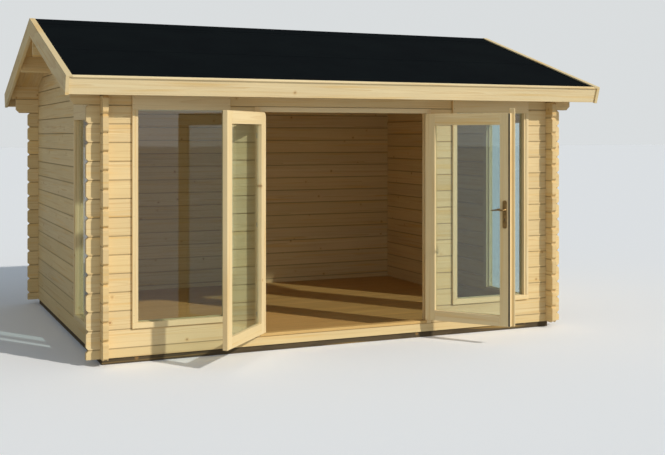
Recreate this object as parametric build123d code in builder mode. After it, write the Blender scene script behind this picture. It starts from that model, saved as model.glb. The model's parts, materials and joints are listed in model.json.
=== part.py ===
from build123d import *
import math
import os

os.makedirs("parts", exist_ok=True)

# Log cabin with a gable roof and a double glazed door, in millimetres.
# +X runs along the door front, -Y is the door front, +Z is up.
# The origin is on the ground under the middle of the cabin.

# Shell: along the front stand, from the middle out, the door, a pier, a window and a corner
frame_outer_width = 1640.0
window_pier = 215.0
window_width = 800.0
window_offset = 245.0
wall_depth = 3290.0
bearer_height = 50.0

# Logs
log_course = 145.0
log_thickness = 44.0
log_end = 107.0
log_end_chamfer = 20.0
corbel_reach = 227.0
corbel_chamfer = 36.0
groove_depth = 5.0
tongue_height = 9.0
tongue_half_width = 9.0
joint_gap = 0.4
lap_gap = 0.4
seat_gap = 0.3

# Bearers and floor
bearer_width = 60.0
bearer_setback = 15.0
joist_count = 7
floor_thickness = 26.0
floor_edge_gap = 3.0

# Roof
roof_pitch = 17.7
plate_height = 2221.0
roof_board_thickness = 18.0
felt_thickness = 3.0
side_overhang = 330.0
roof_shift = 23.0
eave_length = 2006.0
barge_thickness = 27.0
barge_depth = 140.0
barge_seam_inset = 20.0
barge_seam_gap = 0.8
cap_width = 48.0
cap_thickness = 12.0
fascia_thickness = 20.0
fascia_depth = 132.0
drip_height = 12.0
drip_projection = 12.0
ridge_purlin_height = 310.0
mid_purlin_height = 145.0
purlin_chamfer = 12.0

# Windows: the same unit four times
window_trim_width = 48.0
window_sill_width = 44.0
window_courses_below_top = 2
window_head_height = 133.0
window_head_overlap = 32.0
trim_overlap = 25.0
trim_thickness = 20.0
lining_thickness = 18.0
front_window_course = 1.5
side_window_course = 1.0
pane_thickness = 6.0
pane_bite = 8.0
pane_setback = 20.0

# Door frame
frame_proud = 6.0
jamb_width = 41.0
jamb_groove = 20.0
groove_play = 2.0
frame_head_height = 41.0
threshold_height = 24.0
stop_width = 10.0

# Door leaves
leaf_clearance = 5.0
leaf_floor_gap = 16.0
leaf_middle_gap = 7.0
leaf_thickness = 40.0
stile_width = 90.0
top_rail_width = 100.0
bottom_rail_width = 88.0
leaf_pane_setback = 8.0
left_corner_radius = 40.0
left_rest_angle = 132.0
right_rest_angle = 128.0

# Cover batten on the free edge of the right leaf, and the rebate behind it
batten_seat = 20.0
batten_lip = 27.0
batten_lip_gap = 5.3
batten_lip_thickness = 12.0
batten_top_gap = 5.0
rebate_width = 16.0
rebate_depth = 5.0

# Hinges and handle
hinge_radius = 7.0
hinge_offset = 9.0
hinge_half_length = 40.0
hinge_plate_reach = 34.0
hinge_plate_thickness = 3.0
hinge_inset = 170.0
handle_height = 1095.0
handle_plate_width = 38.0
handle_plate_height = 235.0
handle_plate_thickness = 7.0
handle_drop = 75.0
handle_neck_radius = 9.0
handle_neck_length = 42.0
lever_length = 118.0
lever_root_height = 19.0
lever_tip_height = 13.0
lever_thickness = 12.0

# How far a cut runs past the face that it opens
cut_over = 1.0

# Worked out from the values above: the top log of the long walls has one more course on it
top_course = math.floor(plate_height / log_course) - 1
window_courses = top_course - window_courses_below_top
wall_length = frame_outer_width + 2 * (window_pier + window_width + window_offset)
half_length = wall_length / 2
half_depth = wall_depth / 2
wall_bottom = bearer_height + seat_gap
slope = math.tan(math.radians(roof_pitch))
slope_cos = math.cos(math.radians(roof_pitch))
slope_sin = math.sin(math.radians(roof_pitch))
long_wall_middle = half_depth - log_thickness / 2
side_wall_middle = half_length - log_thickness / 2
barge_inner = half_length + side_overhang - barge_thickness
leaf_zone = frame_outer_width / 2 - jamb_width
frame_top = wall_bottom + (top_course - 0.5) * log_course - joint_gap
sill_top = wall_bottom + log_course / 2
threshold_top = sill_top + seat_gap + threshold_height
head_bottom = frame_top - frame_head_height
frame_face = -half_depth - frame_proud
leaf_back = frame_face + leaf_thickness
frame_back = -half_depth + log_thickness + lining_thickness
pane_gap = 2 * seat_gap


def roof_underside(y):
    """Height of the underside of the roof boards at a distance y from the middle."""
    return wall_bottom + plate_height + (half_depth - abs(y)) * slope


def slope_point(direction, along, lift):
    """Point (y, z) on a roof slope, by its distance down from the ridge and out from the boards."""
    out = along * slope_cos + lift * slope_sin
    return (direction * out, roof_underside(0) - along * slope_sin + lift * slope_cos)


def ridge_point(direction, lift):
    """Point (y, z) where a board of a slope, cut upright, meets the other slope's board."""
    return (direction * seat_gap / 2, roof_underside(seat_gap / 2) + lift / slope_cos)


def course_height(course):
    """Height of a course line, counted in log courses from the wall bottom."""
    return wall_bottom + course * log_course


def log_outline():
    """Cross section of one log about its middle: a crowned tongue on top and its groove below."""
    side = log_thickness / 2
    top = log_course / 2
    bottom = joint_gap - log_course / 2
    return [
        (side, bottom),
        (side, top - groove_depth),
        (tongue_half_width, top + tongue_height),
        (-tongue_half_width, top + tongue_height),
        (-side, top - groove_depth),
        (-side, bottom),
        (-tongue_half_width, bottom + tongue_height),
        (tongue_half_width, bottom + tongue_height),
    ]


def above_roof_outline():
    """Outline, across the ridge, of everything above the underside of the roof boards."""
    reach = wall_depth
    ridge = roof_underside(0) - seat_gap
    low = roof_underside(reach) - seat_gap
    high = ridge + half_depth
    return [(-reach, low), (0, ridge), (reach, low), (reach, high), (-reach, high)]


def save(piece, label):
    """Name a finished piece and write it."""
    piece.label = label
    export_step(piece, f"parts/{label}.step")


def notched_log(wall, start, end, crossing, tips, tip_cut, corbelled):
    """One log about height zero, notched below to half its depth over the logs that it crosses.

    The wall's plane has x along the log and y up; tips are the ends that stand out past a corner.
    """
    profile = Plane(wall.from_local_coords((start, 0, 0)), x_dir=-wall.z_dir, z_dir=wall.x_dir)
    underside = -log_course / 2
    notch_width = log_thickness + 2 * seat_gap
    notch_height = log_course / 2 + tongue_height + lap_gap
    with BuildPart() as log:
        with BuildSketch(profile):
            Polygon(*log_outline(), align=None)
        extrude(amount=end - start)
        if crossing:
            with BuildSketch(wall):
                with Locations((-crossing, underside), (crossing, underside)):
                    Rectangle(notch_width, notch_height, align=(Align.CENTER, Align.MIN))
                for tip in tips:
                    inward = -math.copysign(tip_cut, tip)
                    for joint in [underside] if corbelled else [underside, -underside]:
                        Polygon(
                            (tip, joint - tip_cut), (tip, joint + tip_cut), (tip + inward, joint),
                            align=None,
                        )
            extrude(amount=log_thickness, both=True, mode=Mode.SUBTRACT)
    return log.part


def log_stack(
    wall, courses, start, end,
    crossing=0, tips=(), tip_cut=log_end_chamfer, corbelled=False, openings=(), under_roof=False,
):
    """Logs of one wall on top of each other, with openings cut as (left, right, low, high)."""
    log = notched_log(wall, start, end, crossing, tips, tip_cut, corbelled)
    with BuildPart() as stack:
        with Locations(*[(0, 0, course_height(course)) for course in courses]):
            add(log)
        if openings:
            with BuildSketch(wall):
                for left, right, low, high in openings:
                    with Locations((left, low)):
                        Rectangle(right - left, high - low, align=(Align.MIN, Align.MIN))
            extrude(amount=log_thickness, both=True, mode=Mode.SUBTRACT)
        if under_roof:
            with BuildSketch(Plane.YZ):
                Polygon(*above_roof_outline(), align=None)
            extrude(amount=half_length + 2 * side_overhang, both=True, mode=Mode.SUBTRACT)
    return stack.part


# Bearers: a frame under the walls, with joists between its long sides
with BuildPart() as foundation_bearers:
    beam_y = half_depth - bearer_setback - bearer_width / 2
    beam_length = wall_length - 2 * bearer_setback
    joist_length = 2 * beam_y - bearer_width - 2 * seat_gap
    joist_span = beam_length - bearer_width
    with Locations((0, -beam_y, bearer_height / 2), (0, beam_y, bearer_height / 2)):
        Box(beam_length, bearer_width, bearer_height)
    with Locations((0, 0, bearer_height / 2)):
        with GridLocations(joist_span / (joist_count - 1), 0, joist_count, 1):
            Box(bearer_width, joist_length, bearer_height)
save(foundation_bearers.part, "foundation_bearers")

# Floor, laid on the bearers between the walls
with BuildPart() as floor:
    with Locations((0, 0, wall_bottom)):
        Box(
            wall_length - 2 * (log_thickness + floor_edge_gap),
            wall_depth - 2 * (log_thickness + floor_edge_gap),
            floor_thickness,
            align=(Align.CENTER, Align.CENTER, Align.MIN),
        )
save(floor.part, "floor")

# Wall planes, in the middle of each wall's thickness
front_plane = Plane((0, -long_wall_middle, 0), x_dir=(1, 0, 0), z_dir=(0, -1, 0))
back_plane = Plane((0, long_wall_middle, 0), x_dir=(1, 0, 0), z_dir=(0, -1, 0))
left_plane = Plane((-side_wall_middle, 0, 0), x_dir=(0, 1, 0), z_dir=(1, 0, 0))
right_plane = Plane((side_wall_middle, 0, 0), x_dir=(0, 1, 0), z_dir=(1, 0, 0))

# Front wall: a half log under the door, full logs beside it, one log over it
window_cut_start = half_length - window_offset - trim_overlap
window_cut_end = half_length - window_offset - window_width + trim_overlap
door_cut = frame_outer_width / 2 - jamb_groove + groove_play
log_tip = half_length + log_end
front_low = course_height(front_window_course)
front_high = course_height(front_window_course + window_courses)
ground_cut = (-log_tip - cut_over, log_tip + cut_over, wall_bottom - log_course, wall_bottom)
door_opening = (-door_cut, door_cut, sill_top, sill_top + log_course)
left_opening = (-window_cut_start, -window_cut_end, front_low, front_high)
right_opening = (window_cut_end, window_cut_start, front_low, front_high)

front_sill_log = log_stack(
    front_plane, [0], -log_tip, log_tip,
    side_wall_middle, (-log_tip, log_tip), openings=(ground_cut, door_opening),
)
save(front_sill_log, "front_sill_log")
front_wall_left = log_stack(
    front_plane, range(1, top_course), -log_tip, -door_cut,
    side_wall_middle, (-log_tip,), openings=(left_opening,),
)
save(front_wall_left, "front_wall_left")
front_wall_right = log_stack(
    front_plane, range(1, top_course), door_cut, log_tip,
    side_wall_middle, (log_tip,), openings=(right_opening,),
)
save(front_wall_right, "front_wall_right")

# Back wall
back_wall = log_stack(
    back_plane, range(0, top_course), -log_tip, log_tip,
    side_wall_middle, (-log_tip, log_tip), openings=(ground_cut,),
)
save(back_wall, "back_wall")

# The top logs reach further out than the others, and the eave purlins lie on them, cut to the roof
corbel_tip = half_length + corbel_reach
purlin_tip = barge_inner - seat_gap
for side, plane in (("front", front_plane), ("back", back_plane)):
    top_log = log_stack(
        plane, [top_course], -corbel_tip, corbel_tip,
        side_wall_middle, (-corbel_tip, corbel_tip), corbel_chamfer, corbelled=True,
    )
    save(top_log, f"{side}_top_log")
    eave_purlin = log_stack(
        plane, [top_course + 1], roof_shift - purlin_tip, roof_shift + purlin_tip,
        side_wall_middle, under_roof=True,
    )
    save(eave_purlin, f"{side}_eave_purlin")

# Side walls
side_tip = half_depth + log_end
side_opening = (
    -half_depth + window_offset + trim_overlap,
    -half_depth + window_offset + window_width - trim_overlap,
    course_height(side_window_course),
    course_height(side_window_course + window_courses),
)
side_courses = [course + 0.5 for course in range(top_course + 1)]
for side, plane in (("left", left_plane), ("right", right_plane)):
    side_wall = log_stack(
        plane, side_courses, -side_tip, side_tip,
        long_wall_middle, (-side_tip, side_tip), openings=(side_opening,), under_roof=True,
    )
    save(side_wall, f"{side}_wall")


def purlin_bottom(y, height):
    """Underside of a purlin of the given height in the middle of its width."""
    return roof_underside(y) - height


# Gables: logs over the side walls, cut to the roof slopes and slotted for the purlins
mid_purlin_y = half_depth / 2
gable_reach = half_depth - log_thickness - seat_gap
gable_height = roof_underside(0) - course_height(top_course + 1)
gable_course_count = math.ceil(gable_height / log_course)
gable_courses = [top_course + 1.5 + course for course in range(gable_course_count)]
slot_half = log_thickness / 2 + seat_gap
purlin_slots = [
    (y - slot_half, y + slot_half, purlin_bottom(y, height) - seat_gap, roof_underside(0))
    for y, height in (
        (0, ridge_purlin_height),
        (-mid_purlin_y, mid_purlin_height),
        (mid_purlin_y, mid_purlin_height),
    )
]
for side, plane in (("left", left_plane), ("right", right_plane)):
    gable = log_stack(
        plane, gable_courses, -gable_reach, gable_reach, openings=purlin_slots, under_roof=True
    )
    save(gable, f"{side}_gable")


def purlin(y, height):
    """Purlin through both gables, its top cut to the roof and its lower edges chamfered."""
    half = log_thickness / 2
    low = purlin_bottom(y, height)
    with BuildPart() as beam:
        with BuildSketch(Plane.YZ.offset(roof_shift - purlin_tip)):
            with Locations((y, low)):
                Polygon(
                    (half - purlin_chamfer, 0),
                    (half, purlin_chamfer),
                    (half, height + log_thickness),
                    (-half, height + log_thickness),
                    (-half, purlin_chamfer),
                    (-half + purlin_chamfer, 0),
                    align=None,
                )
            Polygon(*above_roof_outline(), align=None, mode=Mode.SUBTRACT)
        extrude(amount=2 * purlin_tip)
    return beam.part


save(purlin(0, ridge_purlin_height), "ridge_purlin")
save(purlin(-mid_purlin_y, mid_purlin_height), "front_mid_purlin")
save(purlin(mid_purlin_y, mid_purlin_height), "back_mid_purlin")


def slope_slab(direction, start_x, width, lift, thickness, length):
    """Slab on one roof slope from the ridge down, its eave end cut square; lift is its underside."""
    with BuildPart() as slab:
        with BuildSketch(Plane.YZ.offset(start_x)):
            Polygon(
                ridge_point(direction, lift),
                slope_point(direction, length, lift),
                slope_point(direction, length, lift + thickness),
                ridge_point(direction, lift + thickness),
                align=None,
            )
        extrude(amount=width)
    return slab.part


def slope_bar(direction, start_x, width, start, end, low, high):
    """Bar along one eave, given by its reach down the slope and its reach square to it."""
    with BuildPart() as bar:
        with BuildSketch(Plane.YZ.offset(start_x)):
            Polygon(
                slope_point(direction, start, low),
                slope_point(direction, end, low),
                slope_point(direction, end, high),
                slope_point(direction, start, high),
                align=None,
            )
        extrude(amount=width)
    return bar.part


roof_half_width = barge_inner - seat_gap
roof_start = roof_shift - roof_half_width
felt_lift = roof_board_thickness + seat_gap
felt_top = felt_lift + felt_thickness
board_length = eave_length - fascia_thickness - seat_gap
for side, direction in (("front", -1), ("back", 1)):
    boards = slope_slab(
        direction, roof_start, 2 * roof_half_width, 0, roof_board_thickness, board_length
    )
    save(boards, f"{side}_roof_boards")
    felt = slope_slab(
        direction, roof_start, 2 * roof_half_width, felt_lift, felt_thickness, board_length
    )
    save(felt, f"{side}_roof_felt")

# Fascias close the board ends at the eaves, square to the slope, with a drip batten on top
drip_half_width = half_length + side_overhang - cap_width - seat_gap
drip_low = felt_lift
drip_end = eave_length + drip_projection
for side, direction in (("front", -1), ("back", 1)):
    with BuildPart() as fascia:
        add(slope_bar(
            direction, roof_start, 2 * roof_half_width,
            eave_length - fascia_thickness, eave_length,
            roof_board_thickness - fascia_depth, roof_board_thickness,
        ))
        add(slope_bar(
            direction, roof_shift - drip_half_width, 2 * drip_half_width,
            eave_length - fascia_thickness, drip_end, drip_low, drip_low + drip_height,
        ))
    save(fascia.part, f"{side}_fascia")

# Bargeboards close the roof ends, each with a short length jointed on over the eave,
# and caps cover them and the edge of the felt
barge_seam_y = half_depth - barge_seam_inset
barge_seam_z = roof_underside(barge_seam_y)
barge_lift = felt_top - barge_depth
cap_lift = felt_top + seat_gap
barge_outer = half_length + side_overhang
for side, barge_x, cap_x in (
    ("left", roof_shift - barge_outer, roof_shift - barge_outer),
    ("right", roof_shift + barge_inner, roof_shift + barge_outer - cap_width),
):
    with BuildPart() as barges:
        for direction in (-1, 1):
            add(slope_slab(direction, barge_x, barge_thickness, barge_lift, barge_depth, drip_end))
        with BuildSketch(Plane.YZ.offset(barge_x - cut_over)):
            with Locations((-barge_seam_y, barge_seam_z), (barge_seam_y, barge_seam_z)):
                Rectangle(barge_seam_gap, 2 * barge_depth)
        extrude(amount=barge_thickness + 2 * cut_over, mode=Mode.SUBTRACT)
    save(barges.part, f"{side}_bargeboards")
    with BuildPart() as caps:
        for direction in (-1, 1):
            add(slope_slab(direction, cap_x, cap_width, cap_lift, cap_thickness, drip_end))
    save(caps.part, f"{side}_barge_caps")


def window_frame(plane):
    """Window lining and trim about the log opening; plane is at its sill, middle and outer face."""
    height = window_courses * log_course
    glass_low = window_sill_width
    glass_high = height - window_head_overlap
    glass_width = window_width - 2 * window_trim_width
    glass_middle = (glass_low + glass_high) / 2
    glass_height = glass_high - glass_low
    core_width = window_width - 2 * trim_overlap - 2 * seat_gap
    trim_top = glass_high + window_head_height
    with BuildPart() as frame:
        with BuildSketch(plane.offset(seat_gap)):
            with Locations((0, (seat_gap + trim_top) / 2)):
                Rectangle(window_width, trim_top - seat_gap)
            with Locations((0, glass_middle)):
                Rectangle(glass_width, glass_height, mode=Mode.SUBTRACT)
        extrude(amount=trim_thickness - seat_gap)
        with BuildSketch(plane.offset(seat_gap)):
            with Locations((0, height / 2)):
                Rectangle(core_width, height - 2 * seat_gap)
            with Locations((0, glass_middle)):
                Rectangle(glass_width, glass_height, mode=Mode.SUBTRACT)
        extrude(amount=-log_thickness - 2 * seat_gap)
        with BuildSketch(plane.offset(-log_thickness - seat_gap)):
            with Locations((0, (seat_gap + height + trim_overlap) / 2)):
                Rectangle(window_width, height + trim_overlap - seat_gap)
            with Locations((0, glass_middle)):
                Rectangle(glass_width, glass_height, mode=Mode.SUBTRACT)
        extrude(amount=-lining_thickness + seat_gap)
        with BuildSketch(plane.offset(-pane_setback + seat_gap)):
            with Locations((0, glass_middle)):
                Rectangle(glass_width + 2 * pane_bite, glass_height + 2 * pane_bite)
        extrude(amount=-pane_thickness - pane_gap, mode=Mode.SUBTRACT)
        with BuildSketch(plane.offset(trim_thickness + cut_over)):
            reach = window_trim_width + pane_bite
            for side in (-1, 1):
                middle = side * (window_width / 2 + cut_over - reach / 2)
                with Locations((middle, glass_low), (middle, glass_high)):
                    Rectangle(reach, seat_gap)
        frame_depth = trim_thickness + log_thickness + lining_thickness
        extrude(amount=-frame_depth - 2 * cut_over, mode=Mode.SUBTRACT)
    return frame.part


def window_pane(plane):
    """Glass pane seated in the groove of its window frame."""
    height = window_courses * log_course
    glass_low = window_sill_width
    glass_high = height - window_head_overlap
    glass_width = window_width - 2 * window_trim_width
    with BuildPart() as pane:
        with BuildSketch(plane.offset(-pane_setback)):
            with Locations((0, (glass_low + glass_high) / 2)):
                Rectangle(
                    glass_width + 2 * (pane_bite - seat_gap),
                    glass_high - glass_low + 2 * (pane_bite - seat_gap),
                )
        extrude(amount=-pane_thickness)
    return pane.part


window_middle = window_offset + window_width / 2
front_window_x = half_length - window_middle
side_window_y = -half_depth + window_middle
side_low = course_height(side_window_course)
window_planes = {
    "front_left": Plane((-front_window_x, -half_depth, front_low), x_dir=(1, 0, 0), z_dir=(0, -1, 0)),
    "front_right": Plane((front_window_x, -half_depth, front_low), x_dir=(1, 0, 0), z_dir=(0, -1, 0)),
    "left_side": Plane((-half_length, side_window_y, side_low), x_dir=(0, -1, 0), z_dir=(-1, 0, 0)),
    "right_side": Plane((half_length, side_window_y, side_low), x_dir=(0, 1, 0), z_dir=(1, 0, 0)),
}
for place, plane in window_planes.items():
    save(window_frame(plane), f"{place}_window_frame")
    save(window_pane(plane), f"{place}_window_pane")

# Door frame: jambs grooved for the log ends, a head between them, and side stops behind the leaves
frame_depth = frame_back - frame_face
frame_middle = (frame_back + frame_face) / 2
head_width = 2 * (leaf_zone - seat_gap)
with BuildPart() as door_frame:
    jamb_x = leaf_zone + jamb_width / 2
    jamb_bottom = sill_top + seat_gap
    jamb_height = frame_top - jamb_bottom
    stop_front = leaf_back + leaf_clearance
    stop_depth = frame_back - stop_front
    stop_middle = (frame_back + stop_front) / 2
    with Locations((-jamb_x, frame_middle, jamb_bottom), (jamb_x, frame_middle, jamb_bottom)):
        Box(jamb_width, frame_depth, jamb_height, align=(Align.CENTER, Align.CENTER, Align.MIN))
    groove_x = leaf_zone + jamb_width - (jamb_groove - cut_over) / 2
    groove_z = jamb_bottom - cut_over
    with Locations((-groove_x, -long_wall_middle, groove_z), (groove_x, -long_wall_middle, groove_z)):
        Box(
            jamb_groove + cut_over, log_thickness + 2 * seat_gap, jamb_height + 2 * cut_over,
            align=(Align.CENTER, Align.CENTER, Align.MIN), mode=Mode.SUBTRACT,
        )
    with Locations((0, frame_middle, head_bottom)):
        Box(head_width, frame_depth, frame_head_height, align=(Align.CENTER, Align.CENTER, Align.MIN))
    stop_x = leaf_zone - stop_width / 2 - seat_gap
    side_stop_bottom = threshold_top + seat_gap
    side_stop_top = head_bottom - seat_gap
    with Locations((-stop_x, stop_middle, side_stop_bottom), (stop_x, stop_middle, side_stop_bottom)):
        Box(
            stop_width, stop_depth, side_stop_top - side_stop_bottom,
            align=(Align.CENTER, Align.CENTER, Align.MIN),
        )
save(door_frame.part, "door_frame")

# Threshold between the jambs
with BuildPart() as door_threshold:
    with Locations((0, frame_middle, sill_top + seat_gap)):
        Box(head_width, frame_depth, threshold_height, align=(Align.CENTER, Align.CENTER, Align.MIN))
save(door_threshold.part, "door_threshold")

# Door leaves are drawn shut and then turned to where they stand open
leaf_bottom = threshold_top + leaf_floor_gap
leaf_top = head_bottom - leaf_clearance
leaf_height = leaf_top - leaf_bottom
leaf_width = leaf_zone - leaf_clearance - leaf_middle_gap / 2
hinge_x = leaf_zone - leaf_clearance / 2
hinge_y = frame_face - hinge_offset
leaf_start = leaf_clearance / 2
leaf_front = hinge_offset
pane_low = leaf_bottom + bottom_rail_width
pane_high = leaf_top - top_rail_width
leaf_pane_y = leaf_front + leaf_pane_setback + pane_thickness / 2
hinge_heights = [
    leaf_bottom + hinge_inset,
    (leaf_bottom + leaf_top) / 2,
    leaf_top - hinge_inset,
]


def leaf_plane(side):
    """Plane on the hinge axis of a leaf: its x runs along the leaf, z up, for the shut leaf."""
    if side < 0:
        return Plane((-hinge_x, hinge_y, 0)).rotated((0, 0, -left_rest_angle))
    return Plane((hinge_x, hinge_y, 0)).rotated((0, 0, right_rest_angle))


def leaf_wood(side, corner_radius=0, covered=False):
    """Stiles and rails of one leaf, grooved for the pane; the top corner by the hinges may be round.

    A covered leaf has the batten on its free edge, over the meeting gap, and a rebate on the inside.
    """
    glass_width = leaf_width - 2 * stile_width
    middle_x = -side * (leaf_start + leaf_width / 2)
    middle_y = leaf_front + leaf_thickness / 2
    stile_x = (leaf_width - stile_width) / 2
    with BuildPart(leaf_plane(side)) as wood:
        with Locations(
            (middle_x - stile_x, middle_y, leaf_bottom), (middle_x + stile_x, middle_y, leaf_bottom)
        ):
            Box(stile_width, leaf_thickness, leaf_height, align=(Align.CENTER, Align.CENTER, Align.MIN))
        for rail_low, rail_width in ((leaf_bottom, bottom_rail_width), (pane_high, top_rail_width)):
            with Locations((middle_x, middle_y, rail_low)):
                Box(
                    glass_width - 2 * seat_gap, leaf_thickness, rail_width,
                    align=(Align.CENTER, Align.CENTER, Align.MIN),
                )
        with Locations((middle_x, leaf_pane_y, (pane_low + pane_high) / 2)):
            Box(
                glass_width + 2 * pane_bite, pane_thickness + pane_gap,
                pane_high - pane_low + 2 * pane_bite,
                mode=Mode.SUBTRACT,
            )
        if covered:
            free_edge = leaf_start + leaf_width
            lip_back = leaf_front - batten_lip_gap
            seat_middle = -side * (free_edge - batten_seat / 2)
            cover_middle = -side * (free_edge + (batten_lip - batten_seat) / 2)
            with Locations((seat_middle, leaf_front - batten_lip_gap / 2, leaf_bottom)):
                Box(
                    batten_seat, batten_lip_gap, leaf_height,
                    align=(Align.CENTER, Align.CENTER, Align.MIN),
                )
            with Locations((cover_middle, lip_back - batten_lip_thickness / 2, leaf_bottom)):
                Box(
                    batten_seat + batten_lip, batten_lip_thickness,
                    frame_top - batten_top_gap - leaf_bottom,
                    align=(Align.CENTER, Align.CENTER, Align.MIN),
                )
            with Locations((-side * free_edge, leaf_front + leaf_thickness, leaf_bottom - cut_over)):
                Box(
                    2 * rebate_width, 2 * rebate_depth, leaf_height + 2 * cut_over,
                    align=(Align.CENTER, Align.CENTER, Align.MIN), mode=Mode.SUBTRACT,
                )
        if corner_radius:
            corner = leaf_plane(side).from_local_coords((-side * leaf_start, middle_y, leaf_top))
            fillet(wood.edges().sort_by_distance(corner)[0], corner_radius)
    return wood.part


def leaf_pane(side):
    """Pane of one leaf, seated in the groove."""
    bite = pane_bite - seat_gap
    middle_x = -side * (leaf_start + leaf_width / 2)
    with BuildPart(leaf_plane(side)) as pane:
        with Locations((middle_x, leaf_pane_y, (pane_low + pane_high) / 2)):
            Box(
                leaf_width - 2 * (stile_width - bite), pane_thickness,
                pane_high - pane_low + 2 * bite,
            )
    return pane.part


def hinge_halves(plane, inward, lift):
    """Barrels about the hinge axis with plates on the wood; lift picks upper or lower halves."""
    plate_y = hinge_offset - hinge_plate_thickness / 2 - seat_gap
    middles = [height + lift * (hinge_half_length / 2 + seat_gap) for height in hinge_heights]
    with BuildPart(plane) as halves:
        with Locations(*[(0, 0, middle) for middle in middles]):
            Cylinder(hinge_radius, hinge_half_length)
        with Locations(*[(inward * hinge_plate_reach / 2, plate_y, middle) for middle in middles]):
            Box(hinge_plate_reach, hinge_plate_thickness, hinge_half_length)
    return halves.part


for name, side, leaf in (
    ("left", -1, leaf_wood(-1, corner_radius=left_corner_radius)),
    ("right", 1, leaf_wood(1, covered=True)),
):
    save(leaf, f"{name}_door_leaf")
    save(leaf_pane(side), f"{name}_door_pane")
    save(hinge_halves(leaf_plane(side), -side, 1), f"{name}_leaf_hinges")
fixed_halves = [hinge_halves(Plane((side * hinge_x, hinge_y, 0)), side, -1) for side in (-1, 1)]
with BuildPart() as frame_hinges:
    add(fixed_halves)
save(frame_hinges.part, "frame_hinges")

# Lever handle on both faces of the right leaf's lock stile: plate, neck and tapered lever
handle_plane = leaf_plane(1)
with BuildPart(handle_plane) as door_handle:
    spindle_x = -(leaf_start + leaf_width - stile_width / 2)
    lever_z = wall_bottom + handle_height
    for face_y, out in ((leaf_front, -1), (leaf_front + leaf_thickness, 1)):
        plate_y = face_y + out * (seat_gap + handle_plate_thickness / 2)
        neck_start = face_y + out * (seat_gap + handle_plate_thickness)
        neck_end = neck_start + out * handle_neck_length
        with Locations((spindle_x, plate_y, lever_z - handle_drop / 2)):
            Box(handle_plate_width, handle_plate_thickness, handle_plate_height)
        with Locations((spindle_x, (neck_start + neck_end) / 2, lever_z)):
            Cylinder(handle_neck_radius, handle_neck_length, rotation=(90, 0, 0))
        lever_root = handle_plane.from_local_coords((spindle_x - lever_root_height / 2, neck_end, lever_z))
        with BuildSketch(Plane(lever_root, x_dir=handle_plane.x_dir, z_dir=out * handle_plane.y_dir)):
            Polygon(
                (0, -lever_root_height / 2),
                (lever_length, -lever_tip_height / 2),
                (lever_length, lever_tip_height / 2),
                (0, lever_root_height / 2),
                align=None,
            )
        extrude(amount=lever_thickness)
save(door_handle.part, "door_handle")
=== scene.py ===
import json
import math
import random

import bpy
from mathutils import Matrix, Vector


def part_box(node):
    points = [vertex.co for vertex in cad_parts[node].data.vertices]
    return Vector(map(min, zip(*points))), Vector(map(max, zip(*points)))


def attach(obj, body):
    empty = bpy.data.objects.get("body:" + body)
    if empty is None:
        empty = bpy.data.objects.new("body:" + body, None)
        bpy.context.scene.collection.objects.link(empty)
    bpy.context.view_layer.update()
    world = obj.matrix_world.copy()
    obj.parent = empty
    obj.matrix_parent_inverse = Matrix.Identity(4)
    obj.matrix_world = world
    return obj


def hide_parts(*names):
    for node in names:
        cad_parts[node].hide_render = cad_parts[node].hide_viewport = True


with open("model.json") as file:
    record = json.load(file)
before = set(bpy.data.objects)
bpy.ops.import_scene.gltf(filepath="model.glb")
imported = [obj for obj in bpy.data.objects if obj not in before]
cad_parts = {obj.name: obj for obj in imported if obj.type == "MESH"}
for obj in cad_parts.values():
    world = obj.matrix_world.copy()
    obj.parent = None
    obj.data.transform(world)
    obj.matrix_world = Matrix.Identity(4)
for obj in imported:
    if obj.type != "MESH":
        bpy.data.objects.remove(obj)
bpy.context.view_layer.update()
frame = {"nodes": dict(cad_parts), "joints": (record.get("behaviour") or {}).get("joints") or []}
random.seed(7)

UPWARD = Vector((0, 0, 1))

# Measures of the cabin in metres, the same as in the part's source
LOG_COURSE = 0.145
LOG_THICKNESS = 0.044
ROOF_SLOPE = math.radians(17.7)
SEAT_GAP = 0.0003
WALL_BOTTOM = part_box("front_sill_log")[0].z
HALF_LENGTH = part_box("right_wall")[1].x
HALF_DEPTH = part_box("back_wall")[1].y
PLATE_HEIGHT = 2.221
RIDGE_HEIGHT = WALL_BOTTOM + PLATE_HEIGHT + HALF_DEPTH * math.tan(ROOF_SLOPE)
TRIM_THICKNESS = 0.020
LINING_THICKNESS = 0.018
ROOF_BOARD = 0.018
FELT_LIFT = ROOF_BOARD + SEAT_GAP
FELT_THICKNESS = 0.003
# Distance from a log's middle at which the painted joint shadow begins
JOINT_EDGE = LOG_COURSE / 2 - 0.005


# Small helpers for node materials

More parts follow.
